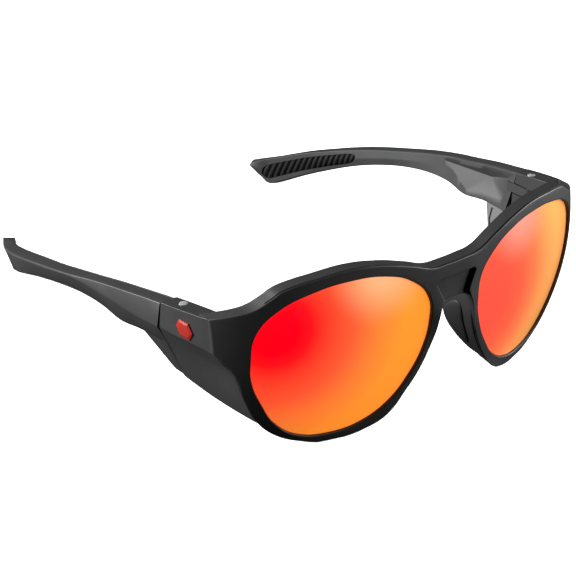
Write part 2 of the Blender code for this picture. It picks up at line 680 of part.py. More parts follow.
def main():
    clear_scene()
    parts = new_collection("sport_sunglasses")
    cutters = new_collection("cutters")
    build_front(parts, cutters)
    tongue = (SLOT_LOW + WASHER_THICKNESS + GAP, SLOT_HIGH - GAP)
    washer = (SLOT_LOW + 0.1, SLOT_LOW + 0.1 + WASHER_THICKNESS)
    nut = (NUT_LOW, NUT_LOW + NUT_HEIGHT)
    hole = SCREW_RADIUS + 0.15
    left = [
        build_lens("left_lens", parts),
        carrier("left_pad_carrier", parts, "frame", cutters),
        nose_pad("left_nose_pad", parts),
        build_temple("left_temple", parts, cutters),
        object_from(grip_body(0.0, 0.35, True), "left_temple_grip", parts, "rubber"),
        build_screw("left_hinge_screw", parts),
        ring("left_hinge_sleeve", parts, "nylon", SLEEVE_RADIUS, hole, *tongue),
        ring("left_hinge_washer", parts, "nylon", TONGUE_RADIUS, hole, *washer),
        ring("left_hinge_nut", parts, "brass", NUT_RADIUS, hole, *nut),
        object_from(emblem_body(0.0, 0.45), "left_emblem_inlay", parts, "emblem"),
    ]
    for piece in left:
        mirrored_copy(piece, piece.name.replace("left", "right"), parts)
    for side, sign in (("left", 1.0), ("right", -1.0)):
        hinge = bpy.data.objects.new(side + "_temple_hinge", None)
        parts.objects.link(hinge)
        hinge.location = (sign * HINGE_X * MM, (HINGE_Y - ORIGIN_Y) * MM, 0.0)
        bpy.context.view_layer.update()
        for part_name in ("temple", "temple_grip", "hinge_sleeve"):
            moving = bpy.data.objects[side + "_" + part_name]
            moving.parent = hinge
            moving.matrix_parent_inverse = hinge.matrix_world.inverted()


main()
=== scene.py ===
"""Wraparound sport sunglasses, standing on a pale floor in soft studio light.

Shapes are worked out in millimetres, on the wearer's left half: the front faces -Y, the temples run back
along +Y, and x = 0 is the plane of symmetry. They are shifted and scaled into the frame where meshes are
made.
"""
import math

import bmesh
import bpy
from mathutils import Matrix, Vector


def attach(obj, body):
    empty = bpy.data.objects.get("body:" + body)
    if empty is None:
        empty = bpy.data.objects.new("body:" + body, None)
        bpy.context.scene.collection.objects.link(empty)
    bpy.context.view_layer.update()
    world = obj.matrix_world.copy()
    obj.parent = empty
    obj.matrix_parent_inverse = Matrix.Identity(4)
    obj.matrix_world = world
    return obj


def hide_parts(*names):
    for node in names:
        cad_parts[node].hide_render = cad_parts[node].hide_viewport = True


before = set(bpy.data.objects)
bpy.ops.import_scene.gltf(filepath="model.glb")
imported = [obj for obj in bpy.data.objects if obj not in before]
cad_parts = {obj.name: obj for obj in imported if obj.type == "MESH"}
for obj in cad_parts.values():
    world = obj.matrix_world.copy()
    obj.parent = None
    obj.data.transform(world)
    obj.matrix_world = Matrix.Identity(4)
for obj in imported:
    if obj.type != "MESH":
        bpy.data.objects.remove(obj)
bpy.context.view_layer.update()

MM = 0.001
ORIGIN_Y = 69.4               # Y of the frame's origin
GAP = 0.3                     # clearance between pieces that touch
SMOOTH_ANGLE = 38.0           # edges up to this angle are shaded smooth, in degrees
CORNER_STEPS = 3              # straight pieces in a rounded corner

# Front surface and plate, as in the CAD model. Seen from above the front wraps back along powers of
# (x / WRAP_HALF) squared; seen from the side it leans and bows.
WRAP_HALF = 70.0
NOSE_Y = -15.7
WRAP_TERMS = (18.3, -10.9, 14.7)
LEAN = -0.051
LEAN_TURN = -0.086
BOW_MIDDLE_Z = 27.0
BOW = 2.0
BOW_SIDE = 3.8
FRONT_DEPTH = 4.8
RIM_DRAFT = 1.6
RIM_HALF_WIDTH = 27.5
RIM_HALF_HEIGHT = 25.6
RIM_INSIDE = 1.02             # where the rim starts, on an oval scale that is about 1 at the lens's edge
RIM_SPAN = 0.12               # and how wide it is
DRAFT_TOP = 34.0
DRAFT_FADE = 10.0
NASAL_FLARE = 1.4
FLARE_WIDTHS = (18.0, 38.0)
FLARE_HEIGHTS = (26.0, 44.0)
GRID = 2.0                    # spacing of the bend lines of the front and the lenses
FIRST_LINE = 0.6              # least way from a flat piece's low end to its first bend line
LAST_LINE = 0.05              # and from the last one to its high end
FLAT_ANGLE = 0.5              # faces of a flat piece that differ less than this are one, in degrees
SNAP = 0.02                   # a bend line this near a point passes through it
WELD = 0.005                  # points of an outline nearer than this are one
FRONT_EDGE = 0.3              # rounding of the front's edges
LENS_DEPTH = 0.8
LENS_THICKNESS = 1.8
LIP_WIDTH = 1.2
LENS_SINK = 0.7               # how much deeper the lens sits at its temporal side

FACET_X = 56.4
FACET_BACK = 0.112
FACET_UP = 0.404
SHIELD_THICKNESS = 1.7
SHIELD_RIM = (                # z and x of the rim's edge where the shield starts
    (11.7, 61.0), (20.0, 65.0), (29.8, 67.9), (33.0, 70.0), (35.9, 71.7))
SHIELD_STEP = 0.18            # how far the shield's rear panel lies below the facet
SHIELD_LOW_Z = 14.9           # ends of the shield's rear edge
SHIELD_HIGH_Z = 35.35
SHIELD_BULGE = 0.55           # how far the rear edge's upper half stands out
SHIELD_WAIST = 0.45           # how far the shield dips in the middle
SHIELD_TUCK = (0.05, 0.3)     # how far its front edge starts inside the rim, in x and in depth
SHIELD_COLUMNS = 16
SHIELD_ROWS = 14
SEAM_TOP_Y = 25.2
SEAM_SLOPE = 0.20
SHIELD_SEAM_HIGH_Y = 27.2
SHIELD_SEAM_LOW_Y = 28.2
SEAM_GAP = 0.36               # gap between front and temple
EAR_TOP = 44.9
END_STATIONS = (              # y; outer top x, z; outer crease x, z; bottom z; inner x
    (5.2, 71.75, 46.5, 71.7, 36.1, 32.8, 66.6),
    (8.0, 72.6, 46.3, 72.2, 36.1, 32.4, 67.2),
    (11.5, 73.2, 46.0, 72.7, 35.9, 32.0, 67.7),
    (15.0, 73.7, 45.5, 73.1, 35.8, 31.8, 68.0),
    (20.0, 74.1, 44.8, 73.7, 35.5, 31.8, 68.4),
    (SEAM_TOP_Y, 74.4, 44.0, 74.2, 35.3, 31.8, 68.9))
END_EDGE = 0.2                # rounding of the end piece's long edges

BROW_AND_RIM = (              # x, z and whether it is a corner
    (-4.0, 50.6, True), (3.0, 50.6, False), (9.2, 50.9, False), (16.0, 53.3, False), (25.0, 55.9, False),
    (35.0, 57.2, False), (45.0, 56.5, False), (52.6, 55.3, False), (55.8, 54.2, False), (58.5, 52.4, False),
    (63.0, 49.6, False), (67.5, 48.0, False), (72.0, 46.5, True), (71.8, 36.0, True), (67.9, 29.8, False),
    (65.0, 20.0, False), (61.0, 11.7, False), (55.0, 5.4, False), (48.3, 1.9, False), (41.5, -0.4, False),
    (36.0, -0.4, False), (28.6, 1.4, False), (22.0, 4.8, False), (15.5, 12.6, False), (10.7, 21.0, False),
    (7.9, 28.7, False), (6.2, 35.8, False), (4.9, 39.5, True), (7.8, 45.3, True), (7.0, 46.2, True),
    (-4.0, 46.2, True))
BROW_CREST_POINTS = slice(1, 12)    # the outline's points along the top of the brow
BROW_GROOVE_ENDS = (-1.0, 60.0)
BROW_GROOVE_STEPS = 40
BROW_GROOVE_CUT = ((-0.6, 0.3), (-0.6, 0.75), (0.8, 0.75), (0.8, 0.3))    # height off the crest, and depth
LENS_OPENING = (
    (64.2, 33.0), (62.5, 43.0), (56.8, 49.1), (47.5, 52.7), (36.5, 53.9), (25.5, 52.7), (16.2, 48.7),
    (10.4, 42.3), (9.5, 34.5), (11.6, 25.0), (15.6, 17.2), (21.2, 9.9), (29.5, 4.5), (39.5, 2.7),
    (48.5, 4.3), (55.8, 10.0), (61.2, 19.5), (63.8, 27.0))
LENS_CENTRE = (37.0, 29.0)
LENS_SINK_ENDS = (30.0, 64.0)
LENS_PLAY = 0.12              # gap round the lens
LENS_EDGE = 0.15
MIRROR_LIMIT = -0.15          # faces whose normal points further forward than this carry the mirror
LIP_OVERLAP = 0.8             # how far the lip reaches into the rim
LIP_PLAY = 0.1                # gap between the lens and the lip
LIP_INSET = 0.2               # how far the lip's back lies inside the front's
LIP_EDGE = 0.2
RECESS_DEPTH = 1.6
WEB_INSET = 0.1
WEB_EDGE = 0.12
BRIDGE_WEB = (
    (-9.0, 48.0, True), (-6.6, 37.2, True), (-3.6, 38.2, False), (0.0, 38.5, False), (3.6, 38.2, False),
    (6.6, 37.2, True), (9.0, 48.0, True))

TEMPLE_STATIONS = (           # y; outer x; top z; width; crease z; bottom z; x of the outer bottom edge
    (26.0, 74.55, 43.8, 5.3, 35.3, 27.7, 70.4),
    (40.0, 75.6, 41.4, 5.1, 34.8, 27.5, 72.0),
    (51.0, 76.1, 39.2, 5.0, 34.8, 26.0, 72.6),
    (60.0, 76.7, 37.4, 4.8, 34.7, 27.5, 73.4),
    (71.5, 77.2, 34.6, 5.2, 33.9, 27.0, 73.8),
    (85.0, 76.6, 31.0, 5.1, 30.3, 24.4, 73.8),
    (100.0, 75.4, 26.9, 5.4, 26.2, 20.1, 73.0),
    (113.0, 73.6, 22.9, 5.5, 22.2, 15.2, 71.2),
    (122.0, 71.4, 19.9, 5.1, 19.1, 11.3, 69.0),
    (132.5, 68.2, 16.3, 4.7, 15.5, 6.4, 65.2),
    (145.0, 62.7, 11.4, 4.5, 10.6, 0.0, 59.8),
    (147.5, 61.5, 10.5, 4.4, 9.7, 0.0, 58.7),
    (152.0, 59.2, 9.0, 4.2, 8.2, 2.5, 57.8),
    (156.6, 56.9, 7.3, 3.4, 6.8, 5.4, 56.2))
BOTTOM_WIDTH = 2.4            # least width of the temple's bottom
BOTTOM_RISE = 0.6             # how much higher the bottom is on the inside
CREASE_PROUD = 0.15           # how far the outer crease stands out
INNER_BELLY = 0.4             # how far the inner face bulges halfway up
TOP_SLOPE = 0.1               # how much lower the top is on the inside
EDGE_GROOVE = (0.05, 0.105, 0.16)    # sides and floor of the groove, as shares of the top's width
EDGE_GROOVE_DEPTH = 0.3
EDGE_GROOVE_LIP = 0.1
TEMPLE_START_Y = 30.5         # first section behind the seam
TEMPLE_STEPS = 84
TIP_START_Y = 147.5           # from here the tip's inner side is drawn forward
TIP_TURN = 2.2
TIP_END = (-0.12, 0.2, -0.05)    # from the last station to the smaller section that rounds the tip
TIP_SHRINK = 0.5
HOLLOW_OUTLINE = ((62.9, 35.2), (40.0, 39.6), (28.4, 41.0), (31.0, 32.3), (49.5, 28.6))
HOLLOW_DEEPEST = (40.0, 36.6)
HOLLOW_DEPTH = 2.0
HOLLOW_CUT_REACH = 6.0
FIN_OUTLINE = ((32.2, 15.8, True), (39.8, 27.9, True), (39.8, 30.6, True))    # rear corners of the fin
FIN_FRONT = (30.6, 15.2)      # ends of the fin's front edge
FIN_EDGE = 0.2
FIN_GRID = 4.0
WINDOW = (                    # shallow panel inside the fin
    (36.4, 27.0), (30.6, 27.6), (31.4, 19.8), (33.6, 19.4), (36.0, 23.4))
WINDOW_DEPTH = 0.45
TEMPLE_EDGE = 0.35            # rounding of the temple's long edges
GRIP_FRONT_Y = 108.0
GRIP_REAR_Y = 149.0
GRIP_DEPTH = 1.4
GRIP_PLAY = 0.2
GRIP_CUT_REACH = 3.0
GRIP_PROUD = 0.35             # how far the ribs stand out of the temple
GRIP_RIBS = 16
RIB_DEPTH = 0.75
RIB_STEPS = 6                 # sections of the grip along one rib
GRIP_SLANT = 0.35
GRIP_END = 0.12               # share of the grip's length over which its ends are rounded
GRIP_MIDDLE = 0.53            # the grip's centre line, as a share of the temple's height
GRIP_HALF_HEIGHT = 0.30
GRIP_LEVELS = (-1.0, -0.6, 0.0, 0.6, 1.0)
GRIP_EDGE_DROP = 0.25

HINGE_X = 70.3
HINGE_Y = 20.1
SLOT_LOW = 36.0               # the slot between the ears
SLOT_HIGH = 40.2
SLOT_INWARD = 12.0
SLOT_REARWARD = 14.0
CORNER_PLACE = (-2.6, 8.0)    # cut behind the ears that lets the temple swing in, from the hinge axis
CORNER_RADIUS = 2.6
CORNER_MIDDLE_Z = 38.5
CORNER_HEIGHT = 16.0
NECK_PLAY = 0.3               # how much narrower than the tongue its neck is on each side
NECK_REAR_Y = 29.0
BORE_MIDDLE_Z = EAR_TOP - 4.0
HEAD_PLAY = 0.25              # room round and under the screw's head
HEAD_ROOM = 0.4
NUT_PLAY = 0.2
NUT_MOUTH_Z = SLOT_LOW + 0.5
SLEEVE_PLAY = 0.15
SLEEVE_CUT_LENGTH = 12.0
TONGUE_OVERLAP = 0.02         # so that the tongue's faces don't coincide with the neck's
WASHER_THICKNESS = 0.5
TONGUE_RADIUS = 2.2
SLEEVE_RADIUS = 1.3
SCREW_RADIUS = 0.8
SCREW_HEAD_RADIUS = 1.4
SCREW_HEAD_HEIGHT = 0.9
SCREW_SINK = 0.1              # how far the head lies below the ear, and the tip above the nut's low end
HEAD_ROUNDING = ((0.0, 0.3), (0.1, 0.1), (0.35, 0.0))    # way in and way down from the head's top edge
SCREW_SLOT = (3.0, 0.22, 0.45)    # half length, half width and depth
SCREW_SLOT_TURN = 35.0
NUT_RADIUS = 1.25
NUT_LOW = 34.2
TURNED_SIDES = 48

WING_STATIONS = (             # z; front x, rear x; y of the rear edge
    (8.5, 18.8, 19.6, -4.6),
    (11.0, 16.9, 17.6, -3.2),
    (15.0, 14.1, 14.8, -2.0),
    (20.0, 11.3, 11.7, -1.3),
    (25.0, 9.3, 9.6, -1.5),
    (29.0, 7.9, 8.5, -3.6),
    (33.0, 6.9, 7.8, -6.6),
    (36.5, 6.2, 7.0, -10.2))
WING_THICKNESS = 2.0
WING_STEPS = 30
WING_EDGE = 0.35
WING_BEVEL_START = 0.94       # share of the wing's length behind which its rear edge is bevelled
WING_BEVEL_SHARES = (0.35, 0.8)    # places of the rear edge across the wing's thickness
REBATE_DEPTH = 0.9
REBATE_REACH = 2.0            # how far the rebate's cut goes past the back of the front
REBATE_SIDE = 3.0             # and past the rim towards the nose
PAD_Z = 22.6
PAD_SHARE = 0.59              # the pad's middle, as a share of the wing's length
PAD_HALF_LENGTH = 9.2
PAD_HALF_WIDTH = 4.4
PAD_SIDES = 56
PAD_PLAY = 0.12
PAD_DEPTH = 0.9
PAD_CUT_REACH = 3.0
PAD_PROFILE = (               # scale of the pad's outline at each height
    (1.0, -PAD_DEPTH), (1.0, 0.15), (0.97, 0.32), (0.88, 0.48), (0.7, 0.62), (0.4, 0.74), (0.12, 0.8))

EMBLEM_Y = 15.4
EMBLEM_Z = 39.4
EMBLEM_LENGTH = 7.2
EMBLEM_HEIGHT = 5.4
EMBLEM_SHOULDER = 0.55        # half length of its flat top and bottom, as a share
EMBLEM_DEPTH = 0.45
EMBLEM_PLAY = 0.15
EMBLEM_CUTS = ((0.0, -EMBLEM_DEPTH), (0.0, 0.05), (-0.7, 0.32), (-1.9, 0.42))    # clearance and height
END_FACE = (73.5, 0.08, 0.06)    # x of the end piece's outer face, and its slopes in y and z
CUT_REACH = 4.0               # how far a cutting body stands out of the surface it cuts

# Studio, in metres and watts. The body lights spare the lenses, and the lens lights reach nothing else.
FLOOR_HALF = 0.75             # half the floor's width
AIM = (0.0, 0.0, 0.03)        # where all softboxes point
BODY_LIGHTS = (
    ("key_softbox", (-0.86, 0.63, 0.44), 0.9, 37.0),
    ("side_softbox", (1.05, -0.31, 0.31), 0.6, 12.5),
    ("fill_softbox", (0.80, -0.80, 0.23), 0.6, 9.0))
LENS_LIGHTS = (
    ("lens_left_softbox", (-0.55, -1.0, 0.40), 0.6, 13.8),
    ("lens_right_softbox", (0.75, -0.95, 0.35), 0.6, 8.6),
    ("lens_edge_softbox", (1.3, -0.35, 0.35), 0.6, 14.0))
FLOOR_LIGHT = ("floor_softbox", (0.0, 0.4, 2.2), 2.5, 90.0)

# Camera, in the same millimetres.
CAMERA_PLACE = (-265.609, -274.754, 242.572)
CAMERA_AZIMUTH = 38.271
CAMERA_ELEVATION = 28.705
CAMERA_LENS = 90.21


# ---------------------------------------------------------------- shape helpers

def smooth_step(value, full, none):
    """1 up to the first limit, 0 from the second, and smooth between them."""
    share = min(1.0, max(0.0, (none - value) / (none - full)))
    return share * share * (3.0 - 2.0 * share)


def off_lens(x, z):
    """Way out from the lens centre, and a measure: 0 in the lens opening, 1 at the rim's outer edge."""
    away = Vector((abs(x) - LENS_CENTRE[0], z - LENS_CENTRE[1]))
    oval = math.hypot(away.x / RIM_HALF_WIDTH, away.y / RIM_HALF_HEIGHT)
    return away, min(1.0, max(0.0, (oval - RIM_INSIDE) / RIM_SPAN))


def front_y(x, z):
    """Y of the front surface."""
    side = (x / WRAP_HALF) ** 2
    rise = ((z - BOW_MIDDLE_Z) / BOW_MIDDLE_Z) ** 2
    wrap = sum(term * side ** (power + 1) for power, term in enumerate(WRAP_TERMS))
    flare = (NASAL_FLARE * off_lens(x, z)[1] * smooth_step(abs(x), *FLARE_WIDTHS)
             * smooth_step(z, *FLARE_HEIGHTS))
    return NOSE_Y + wrap + (LEAN + LEAN_TURN * side) * z + (BOW + BOW_SIDE * side) * rise - flare


def on_front(x, z, depth):
    """A place at a depth behind the front surface."""
    return Vector((x, front_y(x, z) + depth, z))


def on_rim(x, z, depth):
    """A place on the front moulding, whose rims narrow towards the back."""
    away, outer = off_lens(x, z)
    lower = smooth_step(z, DRAFT_TOP - DRAFT_FADE, DRAFT_TOP)
    shift = away.normalized() * RIM_DRAFT * outer * lower * min(1.0, depth / FRONT_DEPTH)
    return Vector((x - math.copysign(1.0, x) * shift.x, front_y(x, z) + depth, z - shift.y))


def facet_x(y, z):
    """X of the flat facet in which shield and fin lie."""
    return FACET_X + FACET_BACK * y + FACET_UP * z


def on_facet(y, z, depth):
    return Vector((facet_x(y, z) - depth, y, z))


def seam_y(z):
    """Y of the slanted seam between end piece and temple."""
    return SEAM_TOP_Y + SEAM_SLOPE * (EAR_TOP - z)


def inset(outline, amount):
    """The lens opening, drawn in towards the lens centre."""
    moved = []
    for x, z in outline:
        away = Vector((x - LENS_CENTRE[0], z - LENS_CENTRE[1]))
        closer = away * (1.0 - amount / away.length)
        moved.append((LENS_CENTRE[0] + closer.x, LENS_CENTRE[1] + closer.y, False))
    return moved


def between(stations, place):
    """Dimensions between stations along a smooth curve through them."""
    count = len(stations)
    index = max(0, min(count - 2, sum(1 for st in stations if st[0] <= place) - 1))
    before, low, high, after = (stations[max(0, min(count - 1, index + step))] for step in (-1, 0, 1, 2))
    span = high[0] - low[0]
    share = min(1.0, max(0.0, (place - low[0]) / span))
    result = []
    for a, b, c, d in zip(before, low, high, after):
        start = (c - a) / (high[0] - before[0]) * span
        end = (d - b) / (after[0] - low[0]) * span
        square, cube = share * share, share * share * share
        result.append(b * (2 * cube - 3 * square + 1) + start * (cube - 2 * square + share)
                      + c * (3 * square - 2 * cube) + end * (cube - square))
    return result


def new_object(bm, name, sharp=SMOOTH_ANGLE):
    """Mesh object from millimetres, in the frame's metres, shaded smooth up to the sharp angle."""
    bmesh.ops.recalc_face_normals(bm, faces=bm.faces[:])
    bmesh.ops.translate(bm, vec=(0.0, -ORIGIN_Y, 0.0), verts=bm.verts[:])
    bmesh.ops.scale(bm, vec=(MM, MM, MM), verts=bm.verts[:])
    mesh = bpy.data.meshes.new(name)
    bm.to_mesh(mesh)
    bm.free()
    mesh.shade_smooth()
    mesh.set_sharp_from_angle(angle=math.radians(sharp))
    made = bpy.data.objects.new(name, mesh)
    bpy.context.scene.collection.objects.link(made)
    return made


def flat_outline(outlines, near, far, steps, edge):
    """A closed flat piece from Bezier outlines, with rounded edges, extruded from near to far."""
    curve = bpy.data.curves.new("outline", "CURVE")
    curve.dimensions = "2D"
    curve.fill_mode = "BOTH"
    curve.resolution_u = steps
    curve.extrude = (far - near) / 2.0 - edge
    curve.bevel_depth = edge
    curve.bevel_resolution = 2
    curve.offset = -edge
    for outline in outlines:
        spline = curve.splines.new("BEZIER")
        spline.bezier_points.add(len(outline) - 1)
        spline.use_cyclic_u = True
        for point, (u, v, corner) in zip(spline.bezier_points, outline):
            point.co = (u, v, 0.0)
            kind = "VECTOR" if corner else "AUTO"
            point.handle_left_type = kind
            point.handle_right_type = kind
    shape = bpy.data.objects.new("outline", curve)
    bpy.context.scene.collection.objects.link(shape)
    bpy.context.view_layer.update()
    mesh = bpy.data.meshes.new_from_object(shape.evaluated_get(bpy.context.evaluated_depsgraph_get()))
    bm = bmesh.new()
    bm.from_mesh(mesh)
    bpy.data.objects.remove(shape, do_unlink=True)
    bpy.data.curves.remove(curve)
    bpy.data.meshes.remove(mesh)
    bmesh.ops.remove_doubles(bm, verts=bm.verts[:], dist=WELD)
    bmesh.ops.translate(bm, vec=(0.0, 0.0, (near + far) / 2.0), verts=bm.verts[:])
    bmesh.ops.dissolve_limit(bm, angle_limit=math.radians(FLAT_ANGLE), verts=bm.verts[:], edges=bm.edges[:])
    return bm


def bent(bm, place, spacing=GRID):
    """Cut a flat piece into a grid and put every point (u, v, depth) in its place."""
    for direction in (Vector((1, 0, 0)), Vector((0, 1, 0))):
        low = min(vert.co.dot(direction) for vert in bm.verts)
        high = max(vert.co.dot(direction) for vert in bm.verts)
        line = spacing * (math.floor((low + FIRST_LINE) / spacing) + 1)
        while line < high - LAST_LINE:
            geometry = bm.verts[:] + bm.edges[:] + bm.faces[:]
            bmesh.ops.bisect_plane(bm, geom=geometry, dist=SNAP, plane_co=direction * line,
                                   plane_no=direction)
            line += spacing
    for vert in bm.verts:
        vert.co = place(*vert.co)
    bmesh.ops.triangulate(bm, faces=bm.faces[:])
    return bm


def flat_foot(bm):
    """Cut off what lies below z = 0 and close the cut with one flat face."""
    geometry = bm.verts[:] + bm.edges[:] + bm.faces[:]
    bmesh.ops.bisect_plane(bm, geom=geometry, dist=SNAP, plane_co=(0, 0, 0), plane_no=(0, 0, 1),
                           clear_inner=True)
    open_edges = [edge for edge in bm.edges if len(edge.link_faces) == 1]
    bmesh.ops.contextual_create(bm, geom=open_edges)
    for edge in open_edges:
        for vert in edge.verts:
            vert.co.z = 0.0
    return bm


def plate(outlines, near, far, place=on_front, edge=FRONT_EDGE, steps=10):
    return bent(flat_outline(outlines, near, far, steps, edge), place)


def rounded(points, radius):
    """The same closed outline with a curve in place of each corner."""
    result = []
    count = len(points)
    for index, point in enumerate(points):
        before = points[index - 1]
        after = points[(index + 1) % count]
        to_before = before - point
        to_after = after - point
        reach = min(radius, to_before.length * 0.4, to_after.length * 0.4)
        start = point + to_before.normalized() * reach
        end = point + to_after.normalized() * reach
        for step in range(CORNER_STEPS + 1):
            share = step / CORNER_STEPS
            result.append(start * (1 - share) ** 2 + point * 2 * share * (1 - share) + end * share ** 2)
    return result


def loft(sections):
    """Closed body through sections of equal point counts."""
    bm = bmesh.new()
    rings = [[bm.verts.new(point) for point in section] for section in sections]
    for ring, following in zip(rings, rings[1:]):
        for index in range(len(ring)):
            after = (index + 1) % len(ring)
            bm.faces.new((ring[index], ring[after], following[after], following[index]))
    bm.faces.new(rings[0])
    bm.faces.new(rings[-1])
    return bm


def shrunk(section, amount):
    """A section drawn in towards its middle, for the rounded end of a loft."""
    middle = sum(section, Vector()) / len(section)
    inward = [middle - point for point in section]
    return [point + way.normalized() * min(amount, way.length * 0.8) for point, way in zip(section, inward)]


def cylinder(centre, radius, height, segments=TURNED_SIDES):
    bm = bmesh.new()
    bmesh.ops.create_cone(bm, cap_ends=True, segments=segments, radius1=radius, radius2=radius, depth=height)
    bmesh.ops.transform(bm, matrix=Matrix.Translation(centre), verts=bm.verts[:])
    return bm


def box(low, high):
    bm = bmesh.new()
    bmesh.ops.create_cube(bm, size=1.0)
    bmesh.ops.scale(bm, vec=Vector(high) - Vector(low), verts=bm.verts[:])
    bmesh.ops.translate(bm, vec=(Vector(high) + Vector(low)) / 2.0, verts=bm.verts[:])
    return bm


def combine(target, bm, operation):
    """Apply a Boolean with another solid at once."""
    other = new_object(bm, "tool")
    modifier = target.modifiers.new("boolean", "BOOLEAN")
    modifier.operation = operation
    modifier.solver = "EXACT"
    modifier.object = other
    bake_modifiers(target)
    bpy.data.objects.remove(other, do_unlink=True)


def bake_modifiers(target):
    """Replace an object's mesh by its modified form."""
    bpy.context.view_layer.update()
    mesh = bpy.data.meshes.new_from_object(target.evaluated_get(bpy.context.evaluated_depsgraph_get()))
    target.modifiers.clear()
    old = target.data
    target.data = mesh
    mesh.name = target.name
    bpy.data.meshes.remove(old)
    mesh.shade_smooth()
    mesh.set_sharp_from_angle(angle=math.radians(SMOOTH_ANGLE))


def even_normals(target):
    """Keep large faces flat between their rounded edges."""
    weighted = target.modifiers.new("weighted_normals", "WEIGHTED_NORMAL")
    weighted.keep_sharp = True
    weighted.weight = 80


# ---------------------------------------------------------------- materials

TINT = 0.12                   # how far a moulding's colour wanders, as a share
GRAIN = 0.00018               # size and depth of the moulded grain, in metres
GRAIN_DEPTH = 0.00002


def new_material(name, colour, roughness, metallic=0.0):
    """Material with its nodes, links and shader."""
    made = bpy.data.materials.new(name)
    made.use_nodes = True
    shader = made.node_tree.nodes["Principled BSDF"]
    shader.inputs["Base Color"].default_value = (*colour, 1.0)
    shader.inputs["Roughness"].default_value = roughness
    shader.inputs["Metallic"].default_value = metallic
    return made, made.node_tree.nodes, made.node_tree.links, shader


def node(nodes, kind, **values):
    """Shader node with its settings and input values; an underscore in a name stands for a space."""
    made = nodes.new(kind)
    for key, value in values.items():
        if hasattr(made, key):
            setattr(made, key, value)
        else:
            made.inputs[key.replace("_", " ")].default_value = value
    return made


def uneven_gloss(nodes, links, shader, scale, detail, low, high):
    """Let the roughness wander between two limits; return the noise and the place that feeds it."""
    place = node(nodes, "ShaderNodeTexCoord")
    noise = node(nodes, "ShaderNodeTexNoise", Scale=scale, Detail=detail)
    links.new(place.outputs["Object"], noise.inputs["Vector"])
    gloss = node(nodes, "ShaderNodeMapRange")
    gloss.inputs["To Min"].default_value = low
    gloss.inputs["To Max"].default_value = high
    links.new(noise.outputs["Fac"], gloss.inputs["Value"])
    links.new(gloss.outputs["Result"], shader.inputs["Roughness"])
    return noise.outputs["Fac"], place.outputs["Object"]


def grained(name, colour, roughness, spread=0.08, height=0.25, specular=0.5):
    """Moulded plastic or rubber: a fine spark-eroded grain, and faint unevenness of gloss and colour."""
    made, nodes, links, shader = new_material(name, colour, roughness)
    shader.inputs["Specular IOR Level"].default_value = specular
    broad, place = uneven_gloss(nodes, links, shader, 90.0, 4.0, roughness - spread, roughness + spread)
    shade = node(nodes, "ShaderNodeMix", data_type="RGBA")
    shade.inputs["A"].default_value = (*[channel * (1 - TINT) for channel in colour], 1.0)
    shade.inputs["B"].default_value = (*[channel * (1 + TINT) for channel in colour], 1.0)
    links.new(broad, shade.inputs["Factor"])
    links.new(shade.outputs["Result"], shader.inputs["Base Color"])
    fine = node(nodes, "ShaderNodeTexNoise", Scale=1.0 / GRAIN, Detail=2.0)
    links.new(place, fine.inputs["Vector"])
    bump = node(nodes, "ShaderNodeBump", Strength=height, Distance=GRAIN_DEPTH)
    links.new(fine.outputs["Fac"], bump.inputs["Height"])
    links.new(bump.outputs["Normal"], shader.inputs["Normal"])
    return made


def metal(name, colour, roughness, metallic=1.0):
    """Turned metal with fine unevenness of gloss."""
    made, nodes, links, shader = new_material(name, colour, roughness, metallic)
    uneven_gloss(nodes, links, shader, 2500.0, 3.0, roughness * 0.7, roughness * 1.4)
    return made


def glossy(name, colour, roughness):
    """Gloss plastic with faint unevenness of gloss."""
    made, nodes, links, shader = new_material(name, colour, roughness)
    uneven_gloss(nodes, links, shader, 60.0, 3.0, roughness * 0.8, roughness * 1.2)
    return made


def distance_from(nodes, links, x, z, reach, smooth):
    """A share from 0 at a place on the lens to 1 at the reach from it."""
    place = node(nodes, "ShaderNodeTexCoord")
    away = node(nodes, "ShaderNodeVectorMath", operation="DISTANCE")
    away.inputs[1].default_value = (x * MM, (front_y(x, z) - ORIGIN_Y) * MM, z * MM)
    links.new(place.outputs["Object"], away.inputs[0])
    share = node(nodes, "ShaderNodeMapRange", interpolation_type="SMOOTHSTEP" if smooth else "LINEAR")
    share.inputs["From Max"].default_value = reach * MM
    links.new(away.outputs["Value"], share.inputs["Value"])
    return share.outputs["Result"]


def coating_with_painted_reflection(name, heart, reach, stops, highlight_place, highlight_reach, highlight_colour):
    """Mirror coating whose colour spreads out from its heart, partly its own colour and partly painted
    reflection, with a painted highlight: a paler patch near the brow.
    """
    made, nodes, links, shader = new_material(name, stops[0][1], 0.22)
    # Painted reflection: the ramp's colours are partly the coating's own and partly stand in for what each
    # lens reflects.
    ramp = node(nodes, "ShaderNodeValToRGB")
    elements = ramp.color_ramp.elements
    while len(elements) < len(stops):
        elements.new(0.5)
    for element, (position, colour) in zip(elements, stops):
        element.position = position
        element.color = (*colour, 1.0)
    links.new(distance_from(nodes, links, *heart, reach, False), ramp.inputs["Fac"])
    # Painted highlight: a paler patch near the brow, mixed over the coating's colour.
    blended = node(nodes, "ShaderNodeMix", data_type="RGBA")
    blended.inputs["A"].default_value = (*highlight_colour, 1.0)
    links.new(distance_from(nodes, links, *highlight_place, highlight_reach, True), blended.inputs["Factor"])
    links.new(ramp.outputs["Color"], blended.inputs["B"])
    links.new(blended.outputs["Result"], shader.inputs["Base Color"])
    shader.inputs["Specular IOR Level"].default_value = 0.2
    shader.inputs["Coat Weight"].default_value = 0.15
    shader.inputs["Coat Roughness"].default_value = 0.12
    return made
